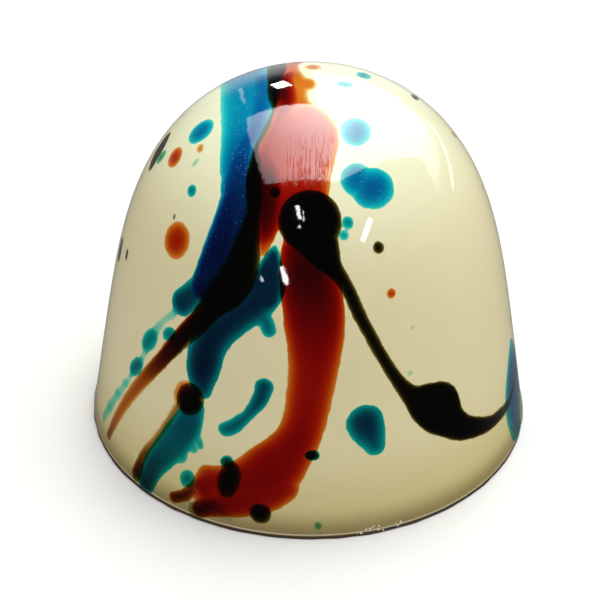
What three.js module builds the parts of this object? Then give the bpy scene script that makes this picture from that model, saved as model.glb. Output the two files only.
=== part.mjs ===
// A moulded chocolate bonbon: one tall domed piece with leaning sides, a broad crown
// and a flat, closed base that it stands on.
// Millimetres, +Z up. The origin is the centre of the base, and the side with the
// most colour splashed on it faces -Y.

import * as THREE from 'three';

// Driving dimensions
const BASE_DIAMETER = 28;
const HEIGHT = 23.3;
const DRAFT_DEG = 9.1; // lean of the side wall, which lets the shell slip out of its mould
const CROWN_POWER = 5.43; // power of the crown's curve: more is a flatter top, a tighter shoulder
const FOOT_ROUND = 0.25; // radius of the soft edge around the base

// Fineness of the facets
const TURN_STEPS = 96;
const OUTLINE_STEPS = 44;
const FOOT_STEPS = 3;
const LENGTH_SAMPLES = 800; // samples for the even spacing of the outline's points

const IVORY = 0xe6dcb4;

const draft = THREE.MathUtils.degToRad(DRAFT_DEG);

// Radius of the leaning wall at a height, before the crown draws it in.
function wallRadius(height) {
  return BASE_DIAMETER / 2 - height * Math.tan(draft);
}

// The outline from the foot's rounded edge up over the shoulder to the top of the axis.
// The wall's radius is drawn in by sqrt(1 - (height / HEIGHT) ** CROWN_POWER).
class ShellOutline extends THREE.Curve {
  constructor(startHeight) {
    super();
    this.startAngle = Math.asin((startHeight / HEIGHT) ** (CROWN_POWER / 2));
    this.arcLengthDivisions = LENGTH_SAMPLES;
  }

  getPoint(t, target = new THREE.Vector2()) {
    const share = (2 * this.startAngle / Math.PI) ** (2 / CROWN_POWER);
    const angle = (Math.PI / 2) * THREE.MathUtils.lerp(share, 1, t) ** (CROWN_POWER / 2);
    const height = HEIGHT * Math.sin(angle) ** (2 / CROWN_POWER);
    return target.set(wallRadius(height) * Math.cos(angle), height);
  }
}

// A quarter turn of the foot's edge, from the flat base to where it meets the wall.
function footEdge(topHeight) {
  const centreRadius = wallRadius(topHeight) - FOOT_ROUND * Math.cos(draft);
  const edge = new THREE.Path();
  edge.absarc(centreRadius, FOOT_ROUND, FOOT_ROUND, -Math.PI / 2, draft);
  return edge.getSpacedPoints(FOOT_STEPS);
}

// Half section of the solid, from the base's centre out and up to the top of the axis.
function halfSection() {
  const footTop = FOOT_ROUND * (1 + Math.sin(draft));
  const outline = new ShellOutline(footTop).getSpacedPoints(OUTLINE_STEPS);
  const top = new THREE.Vector2(0, HEIGHT);
  return [new THREE.Vector2(0, 0), ...footEdge(footTop), ...outline.slice(1, -1), top];
}

function makeBonbon() {
  const solid = new THREE.LatheGeometry(halfSection(), TURN_STEPS);
  solid.rotateX(Math.PI / 2); // the lathe turns about +Y; the bonbon stands along +Z
  const chocolate = new THREE.MeshStandardMaterial({ color: IVORY, roughness: 0.15, metalness: 0 });
  const mesh = new THREE.Mesh(solid, chocolate);
  mesh.name = 'bonbon';
  return mesh;
}

const object = new THREE.Group();
object.add(makeBonbon());

export default object;
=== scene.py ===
"""A moulded chocolate bonbon, splashed with coloured cocoa butter, on a pale studio floor.

The shell is turned from its half section and closed below with a thin layer of dark chocolate. Coats
of coloured cocoa butter are laid on it as drops and trails. Each coat keeps two values on the shell's
vertices: how deep inside the colour a point lies, and how thick the film is there. The shell's
material stains ivory with them.
"""

import logging
import math
from dataclasses import dataclass
from enum import Enum
from functools import reduce

import bmesh
import bpy
import numpy as np
from mathutils import Matrix, Vector


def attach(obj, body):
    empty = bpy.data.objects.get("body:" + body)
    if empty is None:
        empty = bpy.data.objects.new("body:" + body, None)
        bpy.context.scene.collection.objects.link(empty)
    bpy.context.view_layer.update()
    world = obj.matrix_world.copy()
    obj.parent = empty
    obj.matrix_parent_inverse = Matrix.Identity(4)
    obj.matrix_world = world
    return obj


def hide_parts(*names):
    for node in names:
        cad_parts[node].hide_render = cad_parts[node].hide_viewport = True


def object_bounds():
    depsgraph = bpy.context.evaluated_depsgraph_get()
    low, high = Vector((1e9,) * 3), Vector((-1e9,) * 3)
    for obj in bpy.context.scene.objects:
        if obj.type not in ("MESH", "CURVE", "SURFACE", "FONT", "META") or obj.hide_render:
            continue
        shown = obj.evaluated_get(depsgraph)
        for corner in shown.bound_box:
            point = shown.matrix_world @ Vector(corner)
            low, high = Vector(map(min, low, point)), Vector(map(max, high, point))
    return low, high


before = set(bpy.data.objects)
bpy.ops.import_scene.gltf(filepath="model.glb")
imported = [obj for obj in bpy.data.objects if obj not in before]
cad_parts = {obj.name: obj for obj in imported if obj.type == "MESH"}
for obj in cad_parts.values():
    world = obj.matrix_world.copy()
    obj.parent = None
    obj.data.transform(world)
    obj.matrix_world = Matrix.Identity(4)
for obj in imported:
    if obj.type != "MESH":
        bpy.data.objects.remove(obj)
CAD_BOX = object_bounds()

MM = 0.001  # one millimetre in the frame's metres
NODE = "bonbon"
BODY = "root"
LOG = logging.getLogger("bonbon")

FAR_OUTSIDE = -9.0  # depth given to points that no splash reaches, in millimetres

Color = tuple[float, float, float]


# ---------------------------------------------------------------- the shell's form


class Outline:
    """The dome's half section, in millimetres, by the distance down from the crown's top."""

    DRAFT = math.radians(9.1)  # lean of the side wall
    CROWN_POWER = 5.43  # more is a flatter top and a tighter shoulder
    FOOT_ROUND = 0.25  # soft edge around the base
    SAMPLES = 4000
    NUDGE = 0.05  # how far from a point its slope is taken

    def __init__(self, lowest: Vector, highest: Vector) -> None:
        """Works the dome out from the frame's box.

        Args:
            lowest: The box's lowest corner, in metres.
            highest: The box's highest corner, in metres.
        """
        self.height = (highest[2] - lowest[2]) / MM
        foot_top = self.FOOT_ROUND * (1 + math.sin(self.DRAFT))
        widest = (highest[0] - lowest[0]) / MM / 2
        self.base_radius = widest + foot_top * math.tan(self.DRAFT)
        share = np.linspace(1, 0, self.SAMPLES)
        heights = self.height * np.sin(share ** (self.CROWN_POWER / 2) * np.pi / 2) ** (2 / self.CROWN_POWER)
        radii = self.radius_at(heights)
        steps = np.hypot(np.diff(heights), np.diff(radii))
        self._downs = np.concatenate([[0.0], np.cumsum(steps)])
        self._heights = heights

    def radius_at(self, height: np.ndarray) -> np.ndarray:
        """Radius of the leaning wall, drawn in by the crown.

        Args:
            height: Heights above the base.

        Returns:
            The radii there.
        """
        wall = self.base_radius - height * math.tan(self.DRAFT)
        rise = np.clip(height / self.height, 0, 1) ** self.CROWN_POWER
        return wall * np.sqrt(np.clip(1 - rise, 0, None))

    def height_at(self, down: np.ndarray) -> np.ndarray:
        """Height of the outline a distance down from the crown's top."""
        return np.interp(down, self._downs, self._heights)

    def down_at(self, height: float) -> float:
        """Distance down the outline from the crown's top to a height."""
        return float(np.interp(-height, -self._heights, self._downs))

    @property
    def length(self) -> float:
        """Length of the outline from the crown's top to the base."""
        return float(self._downs[-1])

    def point(self, turn: float, down: float) -> np.ndarray:
        """A point on the dome.

        Args:
            turn: Degrees around from the front, -Y, towards +X.
            down: Distance down the outline from the crown's top.

        Returns:
            The point, in millimetres.
        """
        height = float(self.height_at(down))
        radius = float(self.radius_at(height))
        angle = math.radians(turn)
        return np.array([radius * math.sin(angle), -radius * math.cos(angle), height])

    def patch(self, turn: float, down: float) -> tuple[np.ndarray, np.ndarray, np.ndarray, np.ndarray]:
        """A point on the dome with its directions.

        Args:
            turn: Degrees around from the front towards +X.
            down: Distance down the outline from the crown's top.

        Returns:
            The point, and the directions around, down and out of the surface there.
        """
        angle = math.radians(turn)
        around = np.array([math.cos(angle), math.sin(angle), 0.0])
        below = self.point(turn, min(down + self.NUDGE, self.length))
        above = self.point(turn, max(down - self.NUDGE, 0.0))
        along = (below - above) / np.linalg.norm(below - above)
        return self.point(turn, down), around, along, np.cross(along, around)


# ---------------------------------------------------------------- cocoa butter laid on the dome


@dataclass(frozen=True)
class Drop:
    """A drop of cocoa butter, round unless a second size is given.

    Attributes:
        turn: Degrees around from the front towards +X.
        down: Distance from the crown's top, in millimetres.
        size: Half its length, in millimetres.
        width: Half its width, or None where it is round.
        lean: Degrees that its length leans from straight down towards +X.
        load: Thickness of the film in its middle.
        rim: Distance over which the film thickens from the edge, in millimetres.
    """

    turn: float
    down: float
    size: float
    width: float | None = None
    lean: float = 0.0
    load: float = 1.0
    rim: float = 0.45

    def depth_and_load(self, dome: Outline, points: np.ndarray) -> tuple[np.ndarray, float]:
        """How deep points lie inside the drop.

        Args:
            dome: The dome that it lies on.
            points: Points on the dome, in millimetres.

        Returns:
            Their distances inside its edge, negative outside it, and its load.
        """
        centre, around, along, out = dome.patch(self.turn, self.down)
        lean = math.radians(self.lean)
        length_way = math.cos(lean) * along + math.sin(lean) * around
        width_way = math.cos(lean) * around - math.sin(lean) * along
        width = self.width or self.size
        offset = points - centre
        flat = np.stack([offset @ length_way, offset @ width_way, offset @ out], axis=1)
        radii = np.array([self.size, width, max(self.size, width)])
        unit = np.linalg.norm(flat / radii, axis=1)
        slope = np.linalg.norm(flat / radii**2, axis=1)
        return unit * (1 - unit) / np.maximum(slope, 1e-6), self.load


@dataclass(frozen=True)
class Trail:
    """A stroke of cocoa butter along a smooth route on the dome.

    Attributes:
        route: Points of (turn in degrees, distance down in millimetres, half width, film's load).
        rim: Distance over which the film thickens from the edge, in millimetres.
    """

    route: tuple[tuple[float, float, float, float], ...]
    rim: float = 0.45

    STEPS = 6  # pieces of the smooth route between two of its points

    def _smooth_route(self, dome: Outline) -> np.ndarray:
        """Rounds the route's corners with a Catmull-Rom curve.

        Args:
            dome: The dome that it lies on.

        Returns:
            Rows of x, y, z, half width and load.
        """
        rows = np.array([[*dome.point(turn, down), *rest] for turn, down, *rest in self.route])
        rows = np.vstack([2 * rows[0] - rows[1], rows, 2 * rows[-1] - rows[-2]])
        share = np.linspace(0, 1, self.STEPS, endpoint=False)[:, None]
        spans = []
        for before, start, end, after in zip(rows, rows[1:], rows[2:], rows[3:]):
            bend = 2 * before - 5 * start + 4 * end - after
            swing = 3 * start - before - 3 * end + after
            spans.append(start + 0.5 * ((end - before) * share + bend * share**2 + swing * share**3))
        return np.vstack([*spans, rows[-2]])

    def depth_and_load(self, dome: Outline, points: np.ndarray) -> tuple[np.ndarray, np.ndarray]:
        """How deep points lie inside the trail.

        Args:
            dome: The dome that it lies on.
            points: Points on the dome, in millimetres.

        Returns:
            Their distances inside its edge, and the load at the nearest place on its route.
        """
        rows = self._smooth_route(dome)
        best = np.full(len(points), FAR_OUTSIDE)
        load = np.zeros(len(points))
        for start, end in zip(rows, rows[1:]):
            span = end[:3] - start[:3]
            share = np.clip((points - start[:3]) @ span / max(span @ span, 1e-9), 0, 1)
            gap = np.linalg.norm(points - start[:3] - share[:, None] * span, axis=1)
            depth = start[3] + share * (end[3] - start[3]) - gap
            better = depth > best
            best[better] = depth[better]
            load[better] = (start[4] + share * (end[4] - start[4]))[better]
        return best, load


def blend_up(first: np.ndarray, second: np.ndarray, reach: float) -> np.ndarray:
    """The larger of two fields, rounded where they are nearly equal, as liquid edges run together."""
    share = np.clip(0.5 + 0.5 * (first - second) / reach, 0, 1)
    return second + (first - second) * share + reach * share * (1 - share)


@dataclass(frozen=True)
class Coat:
    """One colour of cocoa butter and every place where it was splashed.

    Attributes:
        name: Name of the coat, which its two attributes start with.
        shapes: Its drops and trails.
        merge: How far two of its edges pull together, in millimetres.
    """

    name: str
    shapes: tuple[Drop | Trail, ...]
    merge: float = 0.15

    EDGE_SHARE = 0.22  # share of the load that a film still has at its edge
    SWELL_POWER = 1.5  # more is a thinner film by the edge
    FILM_MERGE = 0.1  # how far two films' thicknesses run together

    def fields(self, dome: Outline, points: np.ndarray) -> tuple[np.ndarray, np.ndarray]:
        """Depth inside the colour and thickness of its film.

        Args:
            dome: The dome that the coat lies on.
            points: Points on the dome, in millimetres.

        Returns:
            The depth in millimetres, negative outside the colour, and the thickness.
        """
        depth = np.full(len(points), FAR_OUTSIDE)
        film = np.zeros(len(points))
        for shape in self.shapes:
            inside, load = shape.depth_and_load(dome, points)
            swell = 1 - np.exp(-((np.clip(inside, 0, None) / shape.rim) ** self.SWELL_POWER))
            own = load * (self.EDGE_SHARE + (1 - self.EDGE_SHARE) * swell)
            own = own * np.clip(1 + inside / self.merge / 2, 0, 1)
            film = blend_up(film, own, self.FILM_MERGE)
            depth = blend_up(depth, inside, self.merge)
        return depth, film


SPECK_SIZE = (0.1, 0.28)  # half size of the finest speck, and what the largest has more, in millimetres
SPECK_POWER = 2.5  # more is fewer large specks
SPECK_WIDTHS = (0.75, 1.0)  # width as a share of the length
SPECK_LOADS = (0.5, 1.4)


def mist(seed: int, count: int, turns: tuple[float, float], downs: tuple[float, float]) -> tuple[Drop, ...]:
    """Fine specks thrown off the brush, spread at random over a stretch of the dome.

    Args:
        seed: Seed of their places and sizes.
        count: Number of specks.
        turns: First and last turn of the stretch, in degrees.
        downs: First and last distance from the crown's top, in millimetres.

    Returns:
        The specks.
    """
    draw = np.random.default_rng(seed)
    specks = []
    for _ in range(count):
        size = float(SPECK_SIZE[0] + SPECK_SIZE[1] * draw.random() ** SPECK_POWER)
        specks.append(
            Drop(
                turn=float(draw.uniform(*turns)),
                down=float(draw.uniform(*downs)),
                size=size,
                width=size * float(draw.uniform(*SPECK_WIDTHS)),
                lean=float(draw.uniform(-90, 90)),
                load=float(draw.uniform(*SPECK_LOADS)),
            )
        )
    return tuple(specks)


BLUE_SHAPES = (
    # The broad band from the back, over the crown and down the front's left: pale along its outer edge
    Trail(((-158, 27.0, 0.35, 0.8), (-155, 23.5, 0.8, 1.6), (-148, 19.5, 1.3, 3.2), (-152, 14.5, 1.1, 3.8),
           (-149, 10.0, 1.6, 2.8), (-140, 7.0, 1.6, 2.0), (-122, 4.9, 1.65, 1.5), (-96.5, 4.0, 1.71, 1.4),
           (-68.5, 4.2, 1.68, 1.4), (-51, 5.2, 1.52, 1.6), (-43, 6.5, 1.2, 2.2),
           (-37.5, 7.6, 1.1, 2.8)), rim=0.55),
    Trail(((-122, 3.7, 0.75, 2.1), (-83, 3.0, 0.85, 2.1), (-55.5, 3.75, 0.85, 2.2), (-42.8, 5.0, 0.78, 2.4),
           (-41, 6.25, 0.82, 2.7), (-37, 7.35, 0.95, 3.2), (-32.6, 8.8, 1.06, 3.6)), rim=0.35),
    Trail(((-34.5, 7.9, 0.7, 3.2), (-31.5, 8.9, 0.98, 3.6), (-29.8, 10.2, 1.16, 3.9),
           (-29.8, 11.7, 1.24, 4.1), (-30.9, 13.0, 1.2, 4.1), (-33.3, 14.8, 1.02, 3.2)), rim=0.2),
    # Drops on the front and over the crown
    Drop(27, 8.5, 1.36, 1.2, lean=-75, load=2.4, rim=0.6),
    Drop(21, 7.8, 1.05, 0.95, lean=-38, load=2.0),
    Drop(33, 4.8, 1.1, 0.88, lean=-49, load=1.6),
    Drop(-74, 7.3, 0.93, 0.88, load=2.0),
    # The tall blot at the right side
    Trail(((78, 23.8, 0.6, 1.8), (77, 25.4, 1.7, 2.6), (76, 27.0, 2.3, 2.6),
           (74.5, 28.6, 1.6, 2.2)), rim=0.7),
    # The back's own drops
    Drop(150, 12.4, 1.35, 1.2, lean=20, load=2.6),
    Drop(161, 21.3, 0.8, 0.66, lean=-20, load=2.2),
    Drop(122, 17.8, 0.55, load=1.6),
    Drop(108, 25.6, 0.9, 0.7, lean=35, load=2.4),
    Drop(-98, 22.6, 0.7, 0.55, lean=15, load=1.8),
    *mist(seed=11, count=12, turns=(80, 265), downs=(6, 28)),
)

TEAL_SHAPES = (
    # The broad band's end, and the thin dabs that ran on from it towards the foot
    Trail(((-33, 14.6, 0.9, 1.6), (-38, 15.8, 0.82, 3.4), (-40.6, 16.4, 0.82, 3.6)), rim=0.35),
    Trail(((-43, 17.3, 0.25, 0.6), (-46.5, 18.1, 0.2, 0.5), (-49, 19.0, 0.3, 0.6))),
    Trail(((-34, 9.4, 0.3, 0.5), (-32.8, 10.5, 0.55, 0.7), (-32.2, 11.8, 0.72, 0.9),
           (-33.2, 13.0, 0.72, 1.1), (-35, 14.6, 0.66, 1.4)), rim=0.2),
    Drop(-51, 19.9, 1.05, 0.58, lean=-30, load=1.6, rim=0.3),
    Drop(-43.5, 18.7, 0.6, 0.42, lean=-50, load=2.4),
    Trail(((-52, 20.8, 0.2, 0.5), (-54, 21.8, 0.2, 0.5))),
    Drop(-55.5, 22.3, 0.95, 0.5, lean=-38, load=2.2, rim=0.3),
    Trail(((-57.5, 23.2, 0.2, 0.4), (-61, 24.6, 0.26, 0.5), (-67, 26.8, 0.34, 0.6),
           (-71, 28.4, 0.32, 0.5))),
    Drop(-59.8, 24.1, 0.42, 0.26, lean=-50, load=0.9),
    Drop(-63.3, 25.3, 0.5, 0.3, lean=-55, load=0.8),
    Drop(-67.5, 27.0, 0.5, 0.36, lean=-50, load=0.9),
    # The middle splash beside the red band, with its short arm
    Trail(((-12.4, 11.7, 0.16, 3.4), (-12.8, 12.7, 0.6, 3.9), (-13.5, 14.0, 1.04, 4.0),
           (-16.5, 15.0, 1.08, 4.4), (-21.3, 15.9, 1.07, 4.3), (-26.5, 17.1, 1.12, 4.4),
           (-29.3, 18.2, 1.15, 4.6), (-30.5, 19.4, 1.2, 4.8), (-30.8, 20.4, 1.0, 4.6),
           (-30, 21.2, 0.6, 4.2)), rim=0.5),
    Trail(((-12.5, 12.1, 0.34, 3.8), (-13.1, 13.2, 0.74, 4.0), (-14.4, 14.4, 1.02, 4.0)), rim=0.15),
    Trail(((-17, 15.5, 0.8, 2.4), (-13.4, 15.9, 0.5, 2.4), (-11.9, 16.5, 0.46, 2.3)), rim=0.35),
    # The low stroke that reaches the foot
    Trail(((-32, 22.6, 0.7, 2.4), (-34, 24.0, 1.02, 2.6), (-37.5, 25.5, 1.08, 2.3), (-41, 26.8, 0.96, 2.4),
           (-44, 28.0, 0.86, 2.8), (-46, 29.4, 0.74, 3.0)), rim=0.3),
    Drop(-29.8, 24.8, 0.5, 0.3, lean=20, load=1.6),
    Drop(-31.5, 25.3, 0.4, 0.34, load=1.5),
    Drop(-34.5, 26.3, 0.5, 0.3, lean=-30, load=1.6),
    Drop(-32.5, 27.6, 0.66, 0.5, lean=-26, load=2.2),
    # The small curved stroke between them
    Trail(((-12.3, 20.1, 0.55, 3.2), (-13.5, 21.0, 0.5, 3.3), (-16.5, 22.1, 0.36, 2.9),
           (-20.5, 23.1, 0.48, 2.5), (-22.6, 23.4, 0.44, 2.3)), rim=0.3),
    # The egg between the red band and the black leg
    Trail(((14.9, 22.45, 1.14, 3.9), (15.6, 22.95, 1.06, 3.8), (16.6, 23.5, 0.86, 3.4),
           (17.5, 24.1, 0.66, 3.0)), rim=0.55),
    # Small drops
    Drop(13.5, 10.2, 0.36, load=2.0, rim=0.3),
    Drop(11.5, 10.9, 0.28, load=1.6, rim=0.3),
    Drop(101.5, 2.0, 0.46, 0.4, load=2.0),
    Drop(129, 4.1, 0.7, 0.46, lean=39, load=2.0),
    Drop(-52, 10.1, 0.4, 0.32, lean=65, load=2.4, rim=0.3),
    Drop(-21.5, 25.5, 0.45, 0.38, lean=-42, load=3.0),
    Drop(1, 24.4, 0.44, 0.36, lean=90, load=3.0, rim=0.25),
    Drop(-112, 14.2, 0.4, load=1.8),
    Drop(173, 26.9, 0.34, load=1.8),
)

RED_SHAPES = (
    # The broad band: thin and orange over the crown, dark red by the black drop, and on down to the foot
    Trail(((172, 12.5, 0.6, 3.2), (-179, 8.0, 0.55, 2.6), (-168, 5.0, 0.52, 2.2), (-152, 3.0, 0.6, 1.8),
           (-98, 1.0, 0.75, 1.3), (-40, 1.6, 0.75, 1.3), (-20, 2.6, 0.85, 1.5)), rim=0.2),
    Trail(((-20, 2.6, 0.8, 1.6), (-10.5, 3.5, 1.5, 2.5), (-9, 4.7, 2.25, 3.0), (-9, 5.8, 2.3, 2.9),
           (-8, 7.0, 2.05, 2.5), (-7, 7.9, 1.95, 3.6), (-6.5, 8.9, 1.85, 4.8)), rim=0.4),
    Drop(-100, 0.5, 0.85, 0.8, load=1.25, rim=0.2),
    # Dark where it gathered along the black stripe
    Trail(((-150, 2.4, 0.35, 4.0), (-114.5, 2.0, 0.55, 13.0), (-67.5, 1.9, 0.62, 16.0),
           (-38, 2.6, 0.68, 8.0), (-30.5, 3.9, 0.66, 4.6), (-28.5, 5.0, 0.68, 4.6), (-27, 6.1, 0.74, 4.8),
           (-24.5, 7.0, 0.9, 6.5), (-21.6, 8.0, 1.1, 11.5), (-19, 9.0, 1.08, 14.0),
           (-17.5, 10.0, 0.92, 14.0), (-16.8, 10.8, 0.7, 11.0), (-16.4, 11.4, 0.48, 6.0),
           (-16.2, 11.9, 0.32, 3.6)), rim=0.6),
    Trail(((-3, 9.5, 1.3, 5.0), (-1.5, 11.3, 1.3, 8.0))),
    Trail(((-1.8, 11.9, 1.4, 12.0), (-0.8, 13.2, 1.66, 12.0), (0.6, 14.6, 1.76, 9.5),
           (1.2, 15.8, 1.76, 7.4), (1.4, 17.2, 1.62, 5.8), (1, 18.8, 1.45, 4.8), (0, 20.4, 1.36, 4.6),
           (-1, 21.9, 1.3, 4.8), (-2.8, 23.2, 1.34, 5.4), (-5.8, 24.4, 1.55, 5.4), (-9.3, 25.5, 1.82, 5.4),
           (-13.5, 26.5, 1.8, 5.2), (-19, 27.2, 1.6, 5.0), (-23.5, 27.3, 1.3, 5.0),
           (-25.5, 27.1, 1.02, 4.6)), rim=0.6),
    Trail(((-7, 26.6, 1.1, 4.4), (-11, 27.4, 1.1, 4.6), (-17.5, 28.0, 1.1, 5.2), (-24, 28.6, 0.9, 6.0),
           (-28, 29.3, 0.55, 7.0))),
    Drop(-26.8, 27.7, 1.05, 0.85, load=5.0, rim=0.3),
    Drop(-26.3, 28.3, 0.95, 0.85, load=4.4),
    Trail(((-27.5, 28.4, 0.5, 4.0), (-31, 28.3, 0.34, 3.6))),
    Trail(((-29, 27.2, 0.3, 1.4), (-30.5, 28.0, 0.34, 3.6), (-32.5, 28.7, 0.4, 4.2),
           (-36, 29.3, 0.4, 4.2))),
    # The long thin streak that leaves the black stroke for the foot
    Trail(((-32, 16.4, 0.6, 3.0), (-37, 17.8, 0.55, 4.0), (-40.5, 19.0, 0.55, 4.0), (-46, 20.9, 0.52, 2.4),
           (-51.5, 22.7, 0.5, 1.7), (-57.5, 24.9, 0.46, 1.5), (-62.5, 27.1, 0.4, 1.5),
           (-65.8, 28.9, 0.34, 1.8)), rim=0.2),
    Trail(((-37.8, 22.9, 0.2, 1.0), (-40.8, 24.5, 0.24, 0.8), (-44.4, 26.1, 0.26, 0.9),
           (-48, 27.7, 0.32, 1.4), (-50, 29.2, 0.4, 2.6)), rim=0.25),
    # Drops
    Drop(-49, 13.1, 1.1, 1.05, load=3.4, rim=0.5),
    Drop(-73.5, 9.5, 0.72, 0.64, lean=67, load=3.4, rim=0.4),
    Drop(-63.5, 7.9, 0.34, 0.27, lean=68, load=1.5, rim=0.2),
    Drop(25, 14.7, 0.3, load=3.2, rim=0.2),
    Drop(179, 2.9, 0.66, 0.52, load=1.6, rim=0.3),
    Drop(-34.8, 22.1, 1.1, 0.95, lean=-29, load=2.4),
    # The back's own splashes
    Trail(((172, 12.5, 0.6, 3.2), (169, 16.5, 1.1, 4.6), (172, 20.8, 0.9, 4.2), (167, 25.0, 1.2, 4.4),
           (170, 28.9, 1.3, 4.6)), rim=0.6),
    Drop(132, 14.6, 0.95, 0.85, load=3.0),
    Drop(111, 9.4, 0.5, load=2.0),
    Drop(-108, 18.6, 0.9, 0.8, lean=30, load=3.0),
    Drop(-120, 25.2, 0.6, 0.5, load=2.4),
    Drop(93, 18.9, 0.36, load=1.5),
    *mist(seed=23, count=11, turns=(85, 262), downs=(5, 28)),
)

BLACK_SHAPES = (
    # The stripe between blue and red over the crown, which thins to a line and widens into the long stroke
    Trail(((-166, 10.5, 0.6, 4.0), (-160, 6.8, 0.6, 4.0), (-144, 3.7, 0.6, 4.4), (-105, 2.35, 0.42, 4.6),
           (-65, 2.5, 0.36, 4.2), (-46, 3.1, 0.15, 4.0), (-39, 3.7, 0.05, 3.8), (-35.6, 4.6, 0.03, 3.6),
           (-35.4, 5.3, 0.04, 3.6), (-34.5, 5.8, 0.09, 3.8), (-32.1, 6.4, 0.19, 4.0),
           (-28.1, 7.2, 0.3, 4.2), (-25.2, 8.1, 0.36, 4.4), (-23.2, 9.0, 0.42, 4.4),
           (-22.3, 9.8, 0.42, 4.6), (-22, 10.8, 0.54, 4.8), (-21.9, 11.8, 0.76, 5.0),
           (-22.3, 13.0, 1.0, 5.0), (-24.8, 14.4, 1.1, 5.0), (-29.8, 15.8, 0.8, 4.6), (-34, 17.2, 0.7, 4.0),
           (-38.5, 18.5, 0.6, 3.4), (-41.5, 19.4, 0.52, 2.6)), rim=0.3),
    # A thin shade of it over the blue band's lower part
    Trail(((-37, 7.4, 0.5, 0.2), (-32, 8.9, 0.8, 0.4), (-29, 10.3, 0.95, 0.4), (-28.5, 11.9, 1.0, 0.4),
           (-30, 13.4, 0.9, 0.4), (-33, 14.9, 0.7, 0.2)), rim=0.9),
    # Brown where a little of it runs on over the thin streak
    Trail(((-40, 19.0, 0.52, 2.4), (-44, 20.3, 0.5, 1.6), (-48, 21.6, 0.48, 0.9), (-51.5, 22.7, 0.47, 0.4),
           (-57.5, 24.9, 0.44, 0.22), (-62.5, 27.1, 0.38, 0.25), (-65.8, 28.9, 0.32, 0.6)), rim=0.06),
    # The great drop, its neck and the long leg that sweeps to the right side
    Drop(-0.5, 10.0, 1.81, load=6.0, rim=0.35),
    Trail(((2.5, 11.3, 1.15, 5.0), (5, 12.1, 0.8, 5.0), (7.5, 12.8, 0.52, 4.8), (9.7, 13.4, 0.42, 4.6),
           (12, 14.3, 0.4, 4.4), (14, 15.4, 0.39, 4.2), (17, 16.8, 0.37, 4.2), (20, 18.2, 0.37, 4.2),
           (23, 19.5, 0.39, 4.2), (26.2, 20.7, 0.48, 4.4), (29.5, 21.6, 0.74, 4.6),
           (33.3, 22.25, 1.28, 5.0), (37.2, 22.95, 1.58, 5.4), (40.5, 24.1, 1.12, 5.2),
           (45, 25.1, 0.86, 5.0), (51, 25.8, 0.66, 4.6), (57, 26.3, 0.5, 4.0), (62.5, 26.5, 0.44, 3.2),
           (69, 26.6, 0.34, 2.4), (77, 26.2, 0.26, 2.0), (86, 24.6, 0.32, 3.0), (94, 22.8, 0.5, 4.0),
           (99, 22.0, 0.34, 3.4)), rim=0.2),
    # Drops
    Drop(-15.5, 8.5, 0.32, load=4.0, rim=0.2),
    Drop(23, 11.9, 0.38, 0.35, load=4.0, rim=0.2),
    Drop(-33.8, 22.2, 1.18, 0.92, lean=-29, load=4.0, rim=0.4),
    Drop(-12, 28.6, 0.7, 0.67, lean=-34, load=4.6, rim=0.3),
    Drop(-20.6, 26.7, 1.32, 0.72, lean=-12, load=4.0, rim=0.35),
    Drop(-21.5, 25.6, 0.42, 0.36, lean=-42, load=2.0),
    Drop(1, 24.4, 0.42, 0.34, lean=90, load=2.0, rim=0.2),
    Trail(((-87, 11.5, 0.45, 4.0), (-90.5, 10.8, 0.75, 4.0), (-94, 10.2, 0.55, 3.6)), rim=0.25),
    Drop(-83, 17.5, 0.85, 0.5, lean=8, load=4.0, rim=0.2),
    Drop(-74, 16.7, 0.38, 0.24, lean=10, load=3.4, rim=0.15),
    Drop(-54, 12.0, 0.16, 0.1, lean=22, load=2.6, rim=0.1),
    Drop(111.5, 7.2, 0.66, 0.3, lean=54, load=3.0, rim=0.2),
    # Shade that it leaves along the low stroke and by the foot
    Trail(((-37.4, 23.1, 0.22, 1.6), (-40.4, 24.5, 0.24, 1.4), (-44, 26.1, 0.26, 1.1),
           (-48, 27.7, 0.34, 1.5), (-50, 29.4, 0.5, 2.0)), rim=0.3),
    Trail(((-29.5, 27.6, 0.28, 1.2), (-32.5, 28.7, 0.36, 2.2), (-36, 29.3, 0.34, 2.2))),
    Trail(((-20, 29.3, 0.3, 0.5), (-24.5, 28.9, 0.55, 1.1), (-29, 29.5, 0.6, 1.8)), rim=0.5),
    # The back's own splashes
    Trail(((-166, 10.5, 0.6, 4.0), (-168, 13.5, 0.95, 4.4), (-164, 17.5, 0.6, 4.2), (-166, 21.5, 0.36, 4.0),
           (-173, 24.6, 0.5, 4.2), (-176, 26.6, 0.95, 4.8)), rim=0.3),
    Drop(140, 19.6, 0.7, 0.62, load=4.0, rim=0.25),
    Drop(147, 8.1, 0.36, load=3.0, rim=0.2),
    Drop(-126, 21.4, 0.42, 0.36, load=3.4, rim=0.2),
    Drop(118, 23.0, 0.3, load=3.0, rim=0.2),
    *mist(seed=37, count=9, turns=(88, 258), downs=(6, 28)),
)

GREEN_SHAPES = (
    Drop(-59.5, 8.7, 0.32, 0.22, load=0.5, rim=0.2),
    Drop(-83.5, 10.5, 0.52, 0.42, load=1.8, rim=0.3),
    Drop(30.5, 17.1, 0.18, 0.15, load=0.5, rim=0.2),
    Drop(28.5, 19.9, 0.2, 0.17, load=0.6, rim=0.2),
    Drop(2.5, 29.2, 0.28, 0.25, load=1.3, rim=0.2),
    Drop(2, 28.2, 0.13, 0.12, load=0.8, rim=0.1),
    *mist(seed=51, count=8, turns=(80, 262), downs=(8, 28)),
)


class Pigment(Enum):
    """The coats of cocoa butter, in the order in which they were laid."""

    GREEN = Coat("green", GREEN_SHAPES)
    BLUE = Coat("blue", BLUE_SHAPES)
    TEAL = Coat("teal", TEAL_SHAPES)
    RED = Coat("red", RED_SHAPES)
    BLACK = Coat("black", BLACK_SHAPES, merge=0.12)


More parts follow.
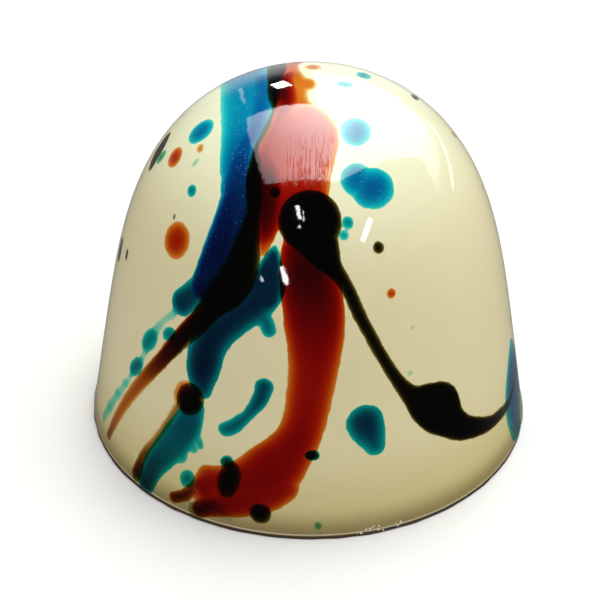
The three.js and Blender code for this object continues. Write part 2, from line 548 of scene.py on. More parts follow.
# ---------------------------------------------------------------- help with nodes


class Socket(Enum):
    """Kinds of socket on a node group."""

    COLOR = "NodeSocketColor"
    VALUE = "NodeSocketFloat"
    VECTOR = "NodeSocketVector"


class Wiring:
    """Adds nodes to one tree and links them."""

    def __init__(self, tree: bpy.types.NodeTree) -> None:
        """Takes the tree to work in."""
        self.tree = tree

    def add(self, kind: str, feeds: dict[str | int, object], **settings: object) -> bpy.types.Node:
        """Adds a node.

        Args:
            kind: Blender's name of the node's type.
            feeds: What goes into its sockets, by name or place: a value, or another node's output.
            settings: The node's own settings.

        Returns:
            The node.
        """
        node = self.tree.nodes.new(kind)
        for name, value in settings.items():
            setattr(node, name, value)
        self.feed(node, feeds)
        return node

    def feed(self, node: bpy.types.Node, feeds: dict[str | int, object]) -> None:
        """Fills a node's sockets.

        Args:
            node: The node.
            feeds: What goes into its sockets, by name or place: a value, or another node's output.
        """
        for socket, value in feeds.items():
            if isinstance(value, bpy.types.NodeSocket):
                self.tree.links.new(value, node.inputs[socket])
            else:
                node.inputs[socket].default_value = value

    def math(self, operation: str, *values: object) -> bpy.types.NodeSocket:
        """The result of a Math node on up to three values or outputs."""
        return self.add("ShaderNodeMath", dict(enumerate(values)), operation=operation).outputs[0]

    def product(self, *values: object) -> bpy.types.NodeSocket:
        """Values or outputs multiplied together."""
        return reduce(lambda first, second: self.math("MULTIPLY", first, second), values)

    def ramp(
        self,
        value: object,
        start: object,
        end: object,
        low: float = 0.0,
        high: float = 1.0,
        soft: bool = False,
    ) -> bpy.types.NodeSocket:
        """Runs from one number to another while a value goes from a start to an end.

        Args:
            value: The value.
            start: Where the ramp starts.
            end: Where it ends.
            low: The number at its start.
            high: The number at its end.
            soft: Whether it eases in and out.

        Returns:
            The number.
        """
        feeds = {"Value": value, "From Min": start, "From Max": end, "To Min": low, "To Max": high}
        kind = "SMOOTHSTEP" if soft else "LINEAR"
        return self.add("ShaderNodeMapRange", feeds, interpolation_type=kind).outputs[0]

    def step(self, value: object, edge: float, softness: float) -> bpy.types.NodeSocket:
        """A soft step from 0 to 1 where a value passes an edge."""
        return self.ramp(value, edge - softness, edge + softness, soft=True)

    def mix(self, share: object, first: object, second: object, blend: str = "MIX") -> bpy.types.NodeSocket:
        """A mix of two colours by a share."""
        feeds = {0: share, 6: first, 7: second}
        return self.add("ShaderNodeMix", feeds, data_type="RGBA", blend_type=blend).outputs[2]

    def attribute(self, name: str) -> bpy.types.NodeSocket:
        """A value kept on the mesh's vertices."""
        return self.add("ShaderNodeAttribute", {}, attribute_name=name).outputs["Fac"]

    def millimetres(self) -> bpy.types.NodeSocket:
        """The object's own coordinates, in millimetres."""
        place = self.add("ShaderNodeTexCoord", {}).outputs["Object"]
        return self.add("ShaderNodeVectorMath", {0: place, "Scale": 1 / MM}, operation="SCALE").outputs[0]

    def noise(self, place: object, scale: float, detail: float = 2.0) -> bpy.types.NodeSocket:
        """Smooth noise from 0 to 1, with this many bumps to a millimetre."""
        feeds = {"Vector": place, "Scale": scale, "Detail": detail}
        return self.add("ShaderNodeTexNoise", feeds).outputs[0]


def rgba(color: Color) -> tuple[float, float, float, float]:
    """A colour with full alpha, as sockets want it."""
    return (*color, 1.0)


class Effect:
    """A shader node group, built once and placed in every material that wants it."""

    def __init__(
        self, name: str, inputs: tuple[tuple[str, Socket], ...], outputs: tuple[tuple[str, Socket], ...]
    ) -> None:
        """Starts the group.

        Args:
            name: The group's name.
            inputs: Names and kinds of its inputs.
            outputs: Names and kinds of its outputs.
        """
        self.group = bpy.data.node_groups.new(name, "ShaderNodeTree")
        for label, kind in inputs:
            self.group.interface.new_socket(label, in_out="INPUT", socket_type=kind.value)
        for label, kind in outputs:
            self.group.interface.new_socket(label, in_out="OUTPUT", socket_type=kind.value)
        self.wiring = Wiring(self.group)
        self.given = self.wiring.add("NodeGroupInput", {}).outputs

    def give(self, results: dict[str | int, object]) -> None:
        """Closes the group by wiring its outputs."""
        self.wiring.add("NodeGroupOutput", results)

    def place(self, wiring: Wiring, feeds: dict[str | int, object]) -> bpy.types.Node:
        """Places the group in a material, with its inputs filled."""
        return wiring.add("ShaderNodeGroup", feeds, node_tree=self.group)


class Unevenness(Effect):
    """Broad and fine unevenness of something cast or scraped by hand."""

    BROAD_SCALE = 0.09
    FINE_SCALE = 1.3

    def __init__(self) -> None:
        """Builds the group."""
        super().__init__(
            "unevenness",
            (("Coordinates", Socket.VECTOR),),
            (("Broad", Socket.VALUE), ("Fine", Socket.VALUE)),
        )
        place = self.given["Coordinates"]
        broad = self.wiring.noise(place, self.BROAD_SCALE, detail=2)
        fine = self.wiring.noise(place, self.FINE_SCALE, detail=3)
        self.give({"Broad": broad, "Fine": fine})


class Film(Effect):
    """A film of coloured cocoa butter that stains the ground it lies on, deeper where it is thicker."""

    def __init__(self) -> None:
        """Builds the group."""
        super().__init__(
            "film of cocoa butter",
            (
                ("Ground", Socket.COLOR), ("Tint", Socket.COLOR), ("Depth", Socket.VALUE),
                ("Thickness", Socket.VALUE), ("Wander", Socket.VALUE), ("Softness", Socket.VALUE),
            ),
            (("Colour", Socket.COLOR), ("Cover", Socket.VALUE)),
        )
        wiring = self.wiring
        edge = wiring.math("ADD", self.given["Depth"], self.given["Wander"])
        soft = self.given["Softness"]
        cover = wiring.ramp(edge, wiring.math("MULTIPLY", soft, -1.0), soft, soft=True)
        power = wiring.math("MULTIPLY", cover, self.given["Thickness"])
        stain = wiring.add("ShaderNodeGamma", {"Color": self.given["Tint"], "Gamma": power}).outputs[0]
        self.give({"Colour": wiring.mix(1.0, self.given["Ground"], stain, "MULTIPLY"), "Cover": cover})


class PearlSpecks(Effect):
    """Tiny bright grains of pearl dust scattered in a colour."""

    GRAIN = (0.24, 0.1)  # distances from a grain's middle where it starts and is full

    def __init__(self) -> None:
        """Builds the group."""
        super().__init__(
            "pearl specks",
            (("Coordinates", Socket.VECTOR), ("Grains", Socket.VALUE), ("Share", Socket.VALUE)),
            (("Mask", Socket.VALUE),),
        )
        wiring = self.wiring
        feeds = {"Vector": self.given["Coordinates"], "Scale": self.given["Grains"]}
        cells = wiring.add("ShaderNodeTexVoronoi", feeds)
        small = wiring.ramp(cells.outputs["Distance"], *self.GRAIN, soft=True)
        draw = wiring.add("ShaderNodeSeparateColor", {0: cells.outputs["Color"]}).outputs[0]
        chosen = wiring.math("LESS_THAN", draw, self.given["Share"])
        self.give({"Mask": wiring.math("MULTIPLY", small, chosen)})


# ---------------------------------------------------------------- finishes


@dataclass(frozen=True)
class FilmTint:
    """How one coat of cocoa butter colours what lies under it.

    Attributes:
        tint: Light that one thickness of the film lets through.
        softness: Half the width of the colour's edge, in millimetres.
    """

    tint: Color
    softness: float = 0.05


@dataclass(frozen=True)
class IvoryShell:
    """Glossy ivory white chocolate with its stains, painted light on its crown, painted shade towards its
    foot and a painted highlight on its lip. Heights and places are in millimetres.

    Attributes:
        light: Its paler ivory.
        deep: Its deeper ivory.
        crown: Paler colour painted on the crown, a painted light where the top is lit most.
        crown_light_heights: Heights where the crown's painted light starts and is full.
        foot: Darker colour painted towards the foot, a painted shade.
        foot_shade_height: Height that the foot's painted shade reaches.
        edge: Dim colour painted at the very edge, a painted shade where the shell meets the floor.
        edge_shade_height: Height that the edge's painted shade reaches.
        lip: Pale colour painted on the fine lip around the foot, a painted highlight.
        lip_highlight_place: Height of the lip's painted highlight, and half its width.
        tints: Each coat with its tint, from the lowest coat up.
        wander: How far a coat's edge wanders.
        wander_scale: Bumps to a millimetre along a coat's edge.
        pearl: Colour of the pearl dust in the blue.
        pearl_grains: Grains of it to a millimetre.
        pearl_share: Share of the grains that shine.
        pearl_cover: How much of the pearl's colour a grain shows.
        roughness: Roughness of the gloss.
        hair_roughness: Roughness of the marks that the brush's hairs left in the red.
        hair_scale: Marks to a millimetre across, back and up.
        hair_edges: Noise at which a mark starts and is full.
        hair_heights: Heights where the marks start and are full.
        hair_front: Places back where they start and are full.
        hair_side: Places across where they start and are full.
        relief: Height of the marks.
        swell: Height of the ground's fine unevenness, as a share of that.
        index: Index of refraction.
        glow: Share of the light that scatters inside.
        glow_reach: How far red, green and blue light scatter.
    """

    light: Color = (0.84, 0.77, 0.51)
    deep: Color = (0.79, 0.685, 0.385)
    # painted light: a paler ivory on the crown, where the top is lit most
    crown: Color = (0.84, 0.87, 0.62)
    crown_light_heights: tuple[float, float] = (16.5, 22.5)
    # painted shade: darker ivory towards the foot, and dimmer still at the very edge
    foot: Color = (0.65, 0.545, 0.245)
    foot_shade_height: float = 7.0
    edge: Color = (0.28, 0.215, 0.09)
    edge_shade_height: float = 2.2
    # painted highlight: a pale band along the lip around the foot
    lip: Color = (0.72, 0.64, 0.43)
    lip_highlight_place: tuple[float, float] = (0.3, 0.05)
    tints: tuple[tuple[Pigment, FilmTint], ...] = (
        (Pigment.GREEN, FilmTint((0.06, 0.42, 0.22))),
        (Pigment.BLUE, FilmTint((0.0015, 0.38, 0.70))),
        (Pigment.TEAL, FilmTint((0.0015, 0.38, 0.53))),
        (Pigment.RED, FilmTint((0.76, 0.27, 0.05))),
        (Pigment.BLACK, FilmTint((0.22, 0.20, 0.09), softness=0.035)),
    )
    wander: float = 0.09
    wander_scale: float = 1.7
    pearl: Color = (0.22, 0.5, 0.68)
    pearl_grains: float = 6.5
    pearl_share: float = 0.38
    pearl_cover: float = 0.6
    roughness: float = 0.04
    hair_roughness: float = 0.3
    hair_scale: tuple[float, float, float] = (11.0, 1.0, 1.0)
    hair_edges: tuple[float, float] = (0.52, 0.64)
    hair_heights: tuple[float, float] = (20.3, 20.9)
    hair_front: tuple[float, float] = (-3.4, -6.2)
    hair_side: tuple[float, float] = (-2.2, -0.6)
    relief: float = 0.012
    swell: float = 0.5
    index: float = 1.46
    glow: float = 0.12
    glow_reach: tuple[float, float, float] = (1.0, 0.8, 0.5)

    def make(self, unevenness: Unevenness, film: Film, specks: PearlSpecks) -> bpy.types.Material:
        """Builds the material.

        Args:
            unevenness: The effect for the ground's cloudiness.
            film: The effect that lays a coat.
            specks: The effect that scatters pearl dust.

        Returns:
            The material.
        """
        material, wiring, shader = new_material("ivory shell")
        place = wiring.millimetres()
        uneven = unevenness.place(wiring, {"Coordinates": place})
        parts = wiring.add("ShaderNodeSeparateXYZ", {0: place}).outputs
        colour = self.ground(wiring, uneven.outputs["Broad"], parts[2])
        colour, red = self.stain(wiring, place, colour, film, specks)
        hairs = wiring.product(self.hairs(wiring, place), red, wiring.ramp(parts[2], *self.hair_heights))
        hairs = wiring.product(
            hairs, wiring.ramp(parts[1], *self.hair_front), wiring.ramp(parts[0], *self.hair_side)
        )
        swell = wiring.math("MULTIPLY", uneven.outputs["Fine"], self.swell)
        dress(
            wiring,
            shader,
            {
                "Base Color": colour,
                "Roughness": wiring.ramp(hairs, 0.0, 1.0, self.roughness, self.hair_roughness),
                "IOR": self.index,
                "Subsurface Weight": self.glow,
                "Subsurface Radius": self.glow_reach,
                "Subsurface Scale": MM,
            },
            relief=self.relief,
            height=wiring.math("ADD", swell, hairs),
        )
        return material

    def ground(
        self, wiring: Wiring, cloudiness: bpy.types.NodeSocket, height: bpy.types.NodeSocket
    ) -> bpy.types.NodeSocket:
        """Colours the bare ivory: paler on the crown as painted light, darker towards the foot and darker
        still at its edge as painted shade, and a pale band on the lip as a painted highlight.

        Args:
            wiring: The material's wiring.
            cloudiness: Shares of its two ivories.
            height: Height above the base.

        Returns:
            The colour.
        """
        colour = wiring.mix(cloudiness, rgba(self.light), rgba(self.deep))
        # painted light: paler towards the crown's top
        colour = wiring.mix(wiring.ramp(height, *self.crown_light_heights), colour, rgba(self.crown))
        # painted shade: darker towards the foot, and darker still at the very edge
        for reach, painted_shade in ((self.foot_shade_height, self.foot), (self.edge_shade_height, self.edge)):
            colour = wiring.mix(wiring.ramp(height, reach, 0.0, soft=True), colour, rgba(painted_shade))
        # painted highlight: a pale band on the lip
        return wiring.mix(wiring.math("COMPARE", height, *self.lip_highlight_place), colour, rgba(self.lip))

    def stain(
        self,
        wiring: Wiring,
        place: bpy.types.NodeSocket,
        colour: bpy.types.NodeSocket,
        film: Film,
        specks: PearlSpecks,
    ) -> tuple[bpy.types.NodeSocket, bpy.types.NodeSocket]:
        """Lays the coats of cocoa butter one over the other.

        Args:
            wiring: The material's wiring.
            place: The object's coordinates.
            colour: The ground's colour.
            film: The effect that lays a coat.
            specks: The effect that scatters pearl dust.

        Returns:
            The stained colour, and where red covers the shell.
        """
        ragged = wiring.math("SUBTRACT", wiring.noise(place, self.wander_scale, detail=4), 0.5)
        wander = wiring.math("MULTIPLY", ragged, self.wander * 2)
        covers = {}
        for pigment, finish in self.tints:
            coat = pigment.value.name
            feeds = {
                "Ground": colour, "Tint": rgba(finish.tint), "Wander": wander, "Softness": finish.softness,
                "Depth": wiring.attribute(f"{coat}_depth"), "Thickness": wiring.attribute(f"{coat}_film"),
            }
            node = film.place(wiring, feeds)
            colour = node.outputs["Colour"]
            covers[pigment] = node.outputs["Cover"]
            if pigment is Pigment.BLUE:
                feeds = {"Coordinates": place, "Grains": self.pearl_grains, "Share": self.pearl_share}
                mask = specks.place(wiring, feeds).outputs["Mask"]
                shine = wiring.product(mask, covers[pigment], self.pearl_cover)
                colour = wiring.mix(shine, colour, rgba(self.pearl))
        return colour, covers[Pigment.RED]

    def hairs(self, wiring: Wiring, place: bpy.types.NodeSocket) -> bpy.types.NodeSocket:
        """Marks of the brush's hairs, all over."""
        stretched = wiring.add("ShaderNodeMapping", {"Vector": place, "Scale": self.hair_scale}).outputs[0]
        return wiring.ramp(wiring.noise(stretched, 1.0, detail=3), *self.hair_edges)


@dataclass(frozen=True)
class ScrapedChocolate:
    """Dark chocolate scraped flush with a palette knife.

    Attributes:
        light: Its paler brown.
        deep: Its deeper brown.
        roughness: Its roughness between the knife's marks and on them.
        mark_scale: Marks to a millimetre across, back and up.
        relief: Height of the marks, in millimetres.
        swell: Height of its fine unevenness, as a share of that.
        index: Index of refraction.
    """

    light: Color = (0.12, 0.056, 0.022)
    deep: Color = (0.05, 0.021, 0.008)
    roughness: tuple[float, float] = (0.45, 0.65)
    mark_scale: tuple[float, float, float] = (0.25, 5.0, 1.0)
    relief: float = 0.03
    swell: float = 0.4
    index: float = 1.46

    def make(self, unevenness: Unevenness) -> bpy.types.Material:
        """Builds the material.

        Args:
            unevenness: The effect for its cloudiness.

        Returns:
            The material.
        """
        material, wiring, shader = new_material("scraped dark chocolate")
        place = wiring.millimetres()
        uneven = unevenness.place(wiring, {"Coordinates": place})
        drawn = wiring.add("ShaderNodeMapping", {"Vector": place, "Scale": self.mark_scale}).outputs[0]
        marks = wiring.noise(drawn, 1.0, detail=4)
        share = wiring.math("MULTIPLY", marks, uneven.outputs["Broad"])
        swell = wiring.math("MULTIPLY", uneven.outputs["Fine"], self.swell)
        dress(
            wiring,
            shader,
            {
                "Base Color": wiring.mix(share, rgba(self.deep), rgba(self.light)),
                "Roughness": wiring.ramp(marks, 0.0, 1.0, *self.roughness),
                "IOR": self.index,
            },
            relief=self.relief,
            height=wiring.math("ADD", marks, swell),
        )
        return material


@dataclass(frozen=True)
class IvoryCrumbs:
    """Broken bits of the ivory shell, dull where they broke.

    Attributes:
        light: Their paler ivory.
        deep: Their deeper ivory.
        roughness: Their roughness.
        relief: Height of their fine unevenness, in millimetres.
    """

    light: Color = (0.9, 0.86, 0.7)
    deep: Color = (0.74, 0.66, 0.44)
    roughness: float = 0.35
    relief: float = 0.02

    def make(self, unevenness: Unevenness) -> bpy.types.Material:
        """Builds the material.

        Args:
            unevenness: The effect for their cloudiness.

        Returns:
            The material.
        """
        material, wiring, shader = new_material("ivory crumbs")
        fine = unevenness.place(wiring, {"Coordinates": wiring.millimetres()}).outputs["Fine"]
        colour = wiring.mix(fine, rgba(self.deep), rgba(self.light))
        dress(wiring, shader, {"Base Color": colour, "Roughness": self.roughness}, self.relief, fine)
        return material


@dataclass(frozen=True)
class PaleFloor:
    """Pale matt card under the bonbon.

    Attributes:
        color: Its colour.
        shade: Its colour where it is a little darker.
        roughness: Its roughness.
        gloss: How strongly it reflects.
    """

    color: Color = (0.86, 0.855, 0.845)
    shade: Color = (0.84, 0.835, 0.825)
    roughness: float = 0.9
    gloss: float = 0.1

    def make(self, unevenness: Unevenness) -> bpy.types.Material:
        """Builds the material.

        Args:
            unevenness: The effect for its cloudiness.

        Returns:
            The material.
        """
        material, wiring, shader = new_material("pale floor")
        uneven = unevenness.place(wiring, {"Coordinates": wiring.millimetres()})
        colour = wiring.mix(uneven.outputs["Broad"], rgba(self.color), rgba(self.shade))
        sockets = {"Base Color": colour, "Roughness": self.roughness, "Specular IOR Level": self.gloss}
        wiring.feed(shader, sockets)
        return material


def new_material(name: str) -> tuple[bpy.types.Material, Wiring, bpy.types.Node]:
    """Starts a material.

    Args:
        name: Its name.

    Returns:
        The material, its wiring and its Principled shader.
    """
    material = bpy.data.materials.new(name)
    material.use_nodes = True
    return material, Wiring(material.node_tree), material.node_tree.nodes["Principled BSDF"]


def dress(
    wiring: Wiring,
    shader: bpy.types.Node,
    sockets: dict[str | int, object],
    relief: float,
    height: bpy.types.NodeSocket,
) -> None:
    """Fills a shader's sockets and gives it a relief.

    Args:
        wiring: The material's wiring.
        shader: Its Principled shader.
        sockets: What goes into the shader's sockets.
        relief: Height of the relief, in millimetres.
        height: The relief itself, from 0 to 1.
    """
    bump = wiring.add("ShaderNodeBump", {"Strength": 1.0, "Distance": relief * MM, "Height": height})
    wiring.feed(shader, {**sockets, "Normal": bump.outputs[0]})


# ---------------------------------------------------------------- the pieces


SAME_PLACE = 1e-5  # points nearer than this are one, in millimetres


def finish_piece(bm: bmesh.types.BMesh, name: str, material: bpy.types.Material) -> bpy.types.Object:
    """Closes seams and poles, turns faces outwards, and makes the piece.

    Args:
        bm: The piece's shape, in millimetres.
        name: The piece's name.
        material: Its finish.

    Returns:
        The piece's object, which rides on the body.
    """
    bmesh.ops.remove_doubles(bm, verts=bm.verts, dist=SAME_PLACE)
    bmesh.ops.recalc_face_normals(bm, faces=bm.faces)
    bmesh.ops.scale(bm, vec=(MM, MM, MM), verts=bm.verts)
    mesh = bpy.data.meshes.new(name)
    bm.to_mesh(mesh)
    bm.free()
    mesh.polygons.foreach_set("use_smooth", [True] * len(mesh.polygons))
    mesh.materials.append(material)
    piece = bpy.data.objects.new(name, mesh)
    bpy.context.scene.collection.objects.link(piece)
    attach(piece, BODY)
    LOG.info("%s: %d faces", name, len(mesh.polygons))
    return piece


def turn_profile(bm: bmesh.types.BMesh, profile: list[tuple[float, float]], steps: int) -> None:
    """Draws a half section from one vertex by extruding it on, then spins it about the axis.

    Args:
        bm: The shape to add to.
        profile: Radius and height of each of the section's points, in millimetres.
        steps: Number of steps around.
    """
    radius, height = profile[0]
    pen = bm.verts.new((0.0, -radius, height))
    drawn = [pen]
    for radius, height in profile[1:]:
        pen = bmesh.ops.extrude_vert_indiv(bm, verts=[pen])["verts"][0]
        pen.co = (0.0, -radius, height)
        drawn.append(pen)
    bmesh.ops.spin(
        bm, geom=[*drawn, *bm.edges], cent=(0, 0, 0), axis=(0, 0, 1), dvec=(0, 0, 0),
        angle=math.tau, steps=steps, use_merge=True, use_duplicate=False,
    )


@dataclass(frozen=True)
class Shell:
    """The moulded ivory shell with its coats of cocoa butter. Sizes in millimetres.

    Attributes:
        outline: The dome's half section.
        rows: Rows of faces down the dome.
        steps: Faces around it.
        underside: Height of its underside, which the closing layer covers.
        lip_height: Height of the fine lip that the mould's edge leaves around the foot.
        lip: How far the lip stands out.
        lip_spread: Half the lip's height.
        lip_rows: Rows of faces over the lip.
        under_rows: Rows of faces across the underside.
        wall_end: How far above the underside the wall's last row is.
        bevel: How far the underside's edge is drawn in.
    """

    outline: Outline
    rows: int = 172
    steps: int = 440
    underside: float = 0.15
    lip_height: float = 0.34
    lip: float = 0.045
    lip_spread: float = 0.09
    lip_rows: int = 12
    under_rows: int = 5
    wall_end: float = 0.04
    bevel: float = 0.05

    LIP_SPAN = 3  # spreads of the lip above its middle that its fine rows cover
    BARE = 0.03  # height above the underside that no coat reaches
    FLAT = 0.01  # height above the underside that still counts as the underside
    POLE = 1e-4  # radius within which a point has no turn of its own
    UV_NAME = "OFBake"
    UV_RADIUS = 0.495  # leaves a margin around the flat map
    UNDER_SHARE = 0.1  # the underside's share of its length on the flat map, because it is covered

    def profile(self) -> list[tuple[float, float]]:
        """Works out the half section.

        Returns:
            Radius and height of its points, from the crown's top to the middle of the underside.
        """
        lip_top = self.lip_height + self.LIP_SPAN * self.lip_spread
        downs = np.linspace(0, self.outline.length - lip_top, self.rows)
        heights = [float(self.outline.height_at(down)) for down in downs]
        heights += list(np.linspace(heights[-1], self.underside + self.wall_end, self.lip_rows)[1:])
        points = []
        for height in heights:
            swell = self.lip * math.exp(-(((height - self.lip_height) / self.lip_spread) ** 2))
            points.append((float(self.outline.radius_at(height)) + swell, height))
        points[0] = (0.0, heights[0])
        edge = points[-1][0] - self.bevel
        for step in range(self.under_rows + 1):
            points.append((edge * (1 - step / self.under_rows), self.underside))
        return points

    def make(self, material: bpy.types.Material) -> bpy.types.Object:
        """Builds the shell.

        Args:
            material: Its finish.

        Returns:
            The shell's piece.
        """
        bm = bmesh.new()
        turn_profile(bm, self.profile(), self.steps)
        piece = finish_piece(bm, "bonbon_shell", material)
        self.lay_coats(piece.data)
        self.unfold(piece.data)
        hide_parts(NODE)
        return piece

    def lay_coats(self, mesh: bpy.types.Mesh) -> None:
        """Keeps each coat's depth and thickness on the vertices.

        Args:
            mesh: The shell's mesh.
        """
        points = np.empty(len(mesh.vertices) * 3)
        mesh.vertices.foreach_get("co", points)
        points = points.reshape(-1, 3) / MM
        below = points[:, 2] < self.underside + self.BARE
        for pigment in Pigment:
            coat = pigment.value
            depth, film = coat.fields(self.outline, points)
            depth[below] = FAR_OUTSIDE
            film[below] = 0
            for name, values in (("depth", depth), ("film", film)):
                kept = mesh.attributes.new(f"{coat.name}_{name}", "FLOAT", "POINT")
                kept.data.foreach_set("value", values.astype(np.float32))
            LOG.info("%s coat: %.1f%% of the shell", coat.name, 100 * float(np.mean(depth > 0)))

    def unfold(self, mesh: bpy.types.Mesh) -> None:
        """Flattens the shell onto a disc: the crown in its middle, the underside squeezed round its edge.

        Args:
            mesh: The shell's mesh.
        """
        under_edge = self.outline.length + self.underside
        widest = under_edge + self.outline.base_radius * self.UNDER_SHARE
        layer = mesh.uv_layers.new(name=self.UV_NAME)
        for face in mesh.polygons:
            middle = math.atan2(face.center.x, -face.center.y)
            for loop in face.loop_indices:
                place = mesh.vertices[mesh.loops[loop].vertex_index].co / MM
                radius = math.hypot(place.x, place.y)
                turn = math.atan2(place.x, -place.y) if radius > self.POLE else middle
                if place.z > self.underside + self.FLAT:
                    reach = self.outline.down_at(place.z)
                else:
                    reach = under_edge + (self.outline.base_radius - radius) * self.UNDER_SHARE
                share = self.UV_RADIUS * reach / widest
                layer.data[loop].uv = (0.5 + share * math.sin(turn), 0.5 - share * math.cos(turn))


@dataclass(frozen=True)
class ClosingLayer:
    """The thin layer of dark chocolate that closes the base. Sizes in millimetres.

    Attributes:
        radius: Its radius.
        thickness: Its thickness.
        ragged: How far its edge strays.
        scrape: Depth of the marks that the knife left below.
        steps: Faces around it.
        rows: Rows of faces from its edge to its middle.
        seed: Seed of its raggedness and marks.
    """

    radius: float
    thickness: float = 0.19
    ragged: float = 0.03
    scrape: float = 0.03
    steps: int = 260
    rows: int = 46
    seed: int = 5

    OVERLAP = 0.02  # how far the layer stands out past the shell's foot
    WAVES = 9  # waves in the edge's straying, and in the knife's marks
    EDGE_WAVES = (5, 60)  # fewest and most of a wave's swings around the edge
    MARK_PITCHES = (0.6, 5.0)  # slowest and quickest of the marks' waves, in radians to a millimetre
    EDGE_POWER = 8  # more keeps the straying nearer the edge
    SLANT = 0.03  # how far the marks lean off straight across
    SWAY = (0.3, 4.0)  # how far the knife swayed, and over how many millimetres to a radian
    CRISPNESS = 2.0  # more is flatter marks with steeper sides

    def make(self, material: bpy.types.Material) -> bpy.types.Object:
        """Builds the layer.

        Args:
            material: Its finish.

        Returns:
            The layer's piece.
        """
        corner = self.thickness / 3
        profile = [(0.0, self.thickness), (self.radius - corner, self.thickness)]
        profile += [(self.radius, self.thickness - corner), (self.radius, corner)]
        profile += [((self.radius - corner) * (1 - row / self.rows), 0.0) for row in range(self.rows + 1)]
        bm = bmesh.new()
        turn_profile(bm, profile, self.steps)
        self.roughen(bm)
        return finish_piece(bm, "closing_layer", material)

    def roughen(self, bm: bmesh.types.BMesh) -> None:
        """Strays the edge and presses the knife's marks into the underside.

        Args:
            bm: The layer's shape.
        """
        draw = np.random.default_rng(self.seed)
        counts = draw.integers(*self.EDGE_WAVES, self.WAVES)
        phases = draw.uniform(0, math.tau, (2, self.WAVES))
        pitches = draw.uniform(*self.MARK_PITCHES, self.WAVES)
        sway, sway_length = self.SWAY
        for vert in bm.verts:
            angle = math.atan2(vert.co.x, -vert.co.y)
            stray = float(np.sin(counts * angle + phases[0]).mean()) * self.ragged * 2
            share = (math.hypot(vert.co.x, vert.co.y) / self.radius) ** self.EDGE_POWER
            vert.co.x *= 1 + stray * share / self.radius
            vert.co.y *= 1 + stray * share / self.radius
            if vert.co.z < self.thickness / 4:
                drawn = vert.co.y + self.SLANT * vert.co.x + sway * math.sin(vert.co.x / sway_length)
                marks = float(np.sin(drawn * pitches + phases[1]).mean())
                press = 0.5 + 0.5 * math.tanh(self.CRISPNESS * marks)
                vert.co.z = self.scrape * press * (1 - share)


@dataclass(frozen=True)
class Crumbs:
    """A few crumbs of ivory chocolate caught on the lip at the front. Sizes in millimetres.

    Attributes:
        outline: The dome's half section.
        spots: Middle turn in degrees and height of each little heap.
        spread: How far a heap's crumbs lie from its middle, in degrees around and in millimetres up.
        count: Number of crumbs in a heap.
        size: Smallest and largest half size of a crumb.
        seed: Seed of their places and sizes.
    """

    outline: Outline
    spots: tuple[tuple[float, float], ...] = ((13.2, 0.3), (16.2, 0.42), (17.4, 0.3), (23.0, 0.36))
    spread: tuple[float, float] = (0.7, 0.07)
    count: int = 5
    size: tuple[float, float] = (0.03, 0.075)
    seed: int = 8

    LOWEST = 0.15  # height below which no crumb's middle lies
    PROUD = 0.3  # how far a crumb's middle stands off the wall, as a share of its size
    LUMPS = (0.75, 1.15)  # smallest and largest stretch of one of its corners
    SQUASH = (0.6, 1.4)  # smallest and largest stretch of the whole crumb

    def make(self, material: bpy.types.Material) -> bpy.types.Object:
        """Builds the crumbs.

        Args:
            material: Their finish.

        Returns:
            The crumbs' piece.
        """
        draw = np.random.default_rng(self.seed)
        bm = bmesh.new()
        for turn, height in self.spots:
            for _ in range(self.count):
                size = float(draw.uniform(*self.size))
                angle = math.radians(turn + float(draw.normal(0, self.spread[0])))
                level = max(height + float(draw.normal(0, self.spread[1])), self.LOWEST)
                radius = float(self.outline.radius_at(level)) + size * self.PROUD
                place = Vector((radius * math.sin(angle), -radius * math.cos(angle), level))
                lump = bmesh.ops.create_icosphere(bm, subdivisions=2, radius=size)["verts"]
                for vert in lump:
                    vert.co *= float(draw.uniform(*self.LUMPS))
                squash = Vector(draw.uniform(*self.SQUASH, 3))
                bmesh.ops.scale(bm, vec=squash, verts=lump)
                bmesh.ops.translate(bm, vec=place, verts=lump)
        return finish_piece(bm, "crumbs", material)


# ---------------------------------------------------------------- the studio


class Reach(Enum):
    """What a lamp lights: matt surfaces softly, or only gloss, as a reflection."""

    SOFT_LIGHT = "soft light"
    REFLECTION = "reflection"


@dataclass(frozen=True)
class Lamp:
    """A flat lamp that looks at the bonbon.

    Attributes:
        name: Its name.
        turn: Its bearing, in degrees around from the front towards +X.
        rise: Its angle above the horizon, in degrees.
        size: Its width and height, in metres.
        radiance: Brightness of its face.
        reach: What it lights.
        away: Its distance, in metres.
        color: Its light's colour.
        roll: Its turn about the line to the bonbon, in degrees.
    """

    name: str
    turn: float
    rise: float
    size: tuple[float, float]
    radiance: float
    reach: Reach = Reach.REFLECTION
    away: float = 0.3
    color: Color = (1.0, 1.0, 1.0)
    roll: float = 0.0

    def place(self, target: Vector) -> None:
        """Hangs the lamp.

        Args:
            target: What it looks at.
        """
        turn, rise = math.radians(self.turn), math.radians(self.rise)
        way = Vector((math.sin(turn) * math.cos(rise), -math.cos(turn) * math.cos(rise), math.sin(rise)))
        facing = (-way).to_track_quat("-Z", "Y").to_matrix().to_4x4()
        rolled = facing @ Matrix.Rotation(math.radians(self.roll), 4, "Z")
        light = bpy.data.lights.new(self.name, "AREA")
        light.shape = "RECTANGLE"
        light.size, light.size_y = self.size
        light.energy = self.radiance * math.pi * self.size[0] * self.size[1]
        light.color = self.color
        lamp = bpy.data.objects.new(self.name, light)
        lamp.matrix_world = Matrix.Translation(target + way * self.away) @ rolled
        lamp.visible_camera = False
        lamp.visible_diffuse = self.reach is Reach.SOFT_LIGHT
        lamp.visible_glossy = self.reach is Reach.REFLECTION
        bpy.context.scene.collection.objects.link(lamp)


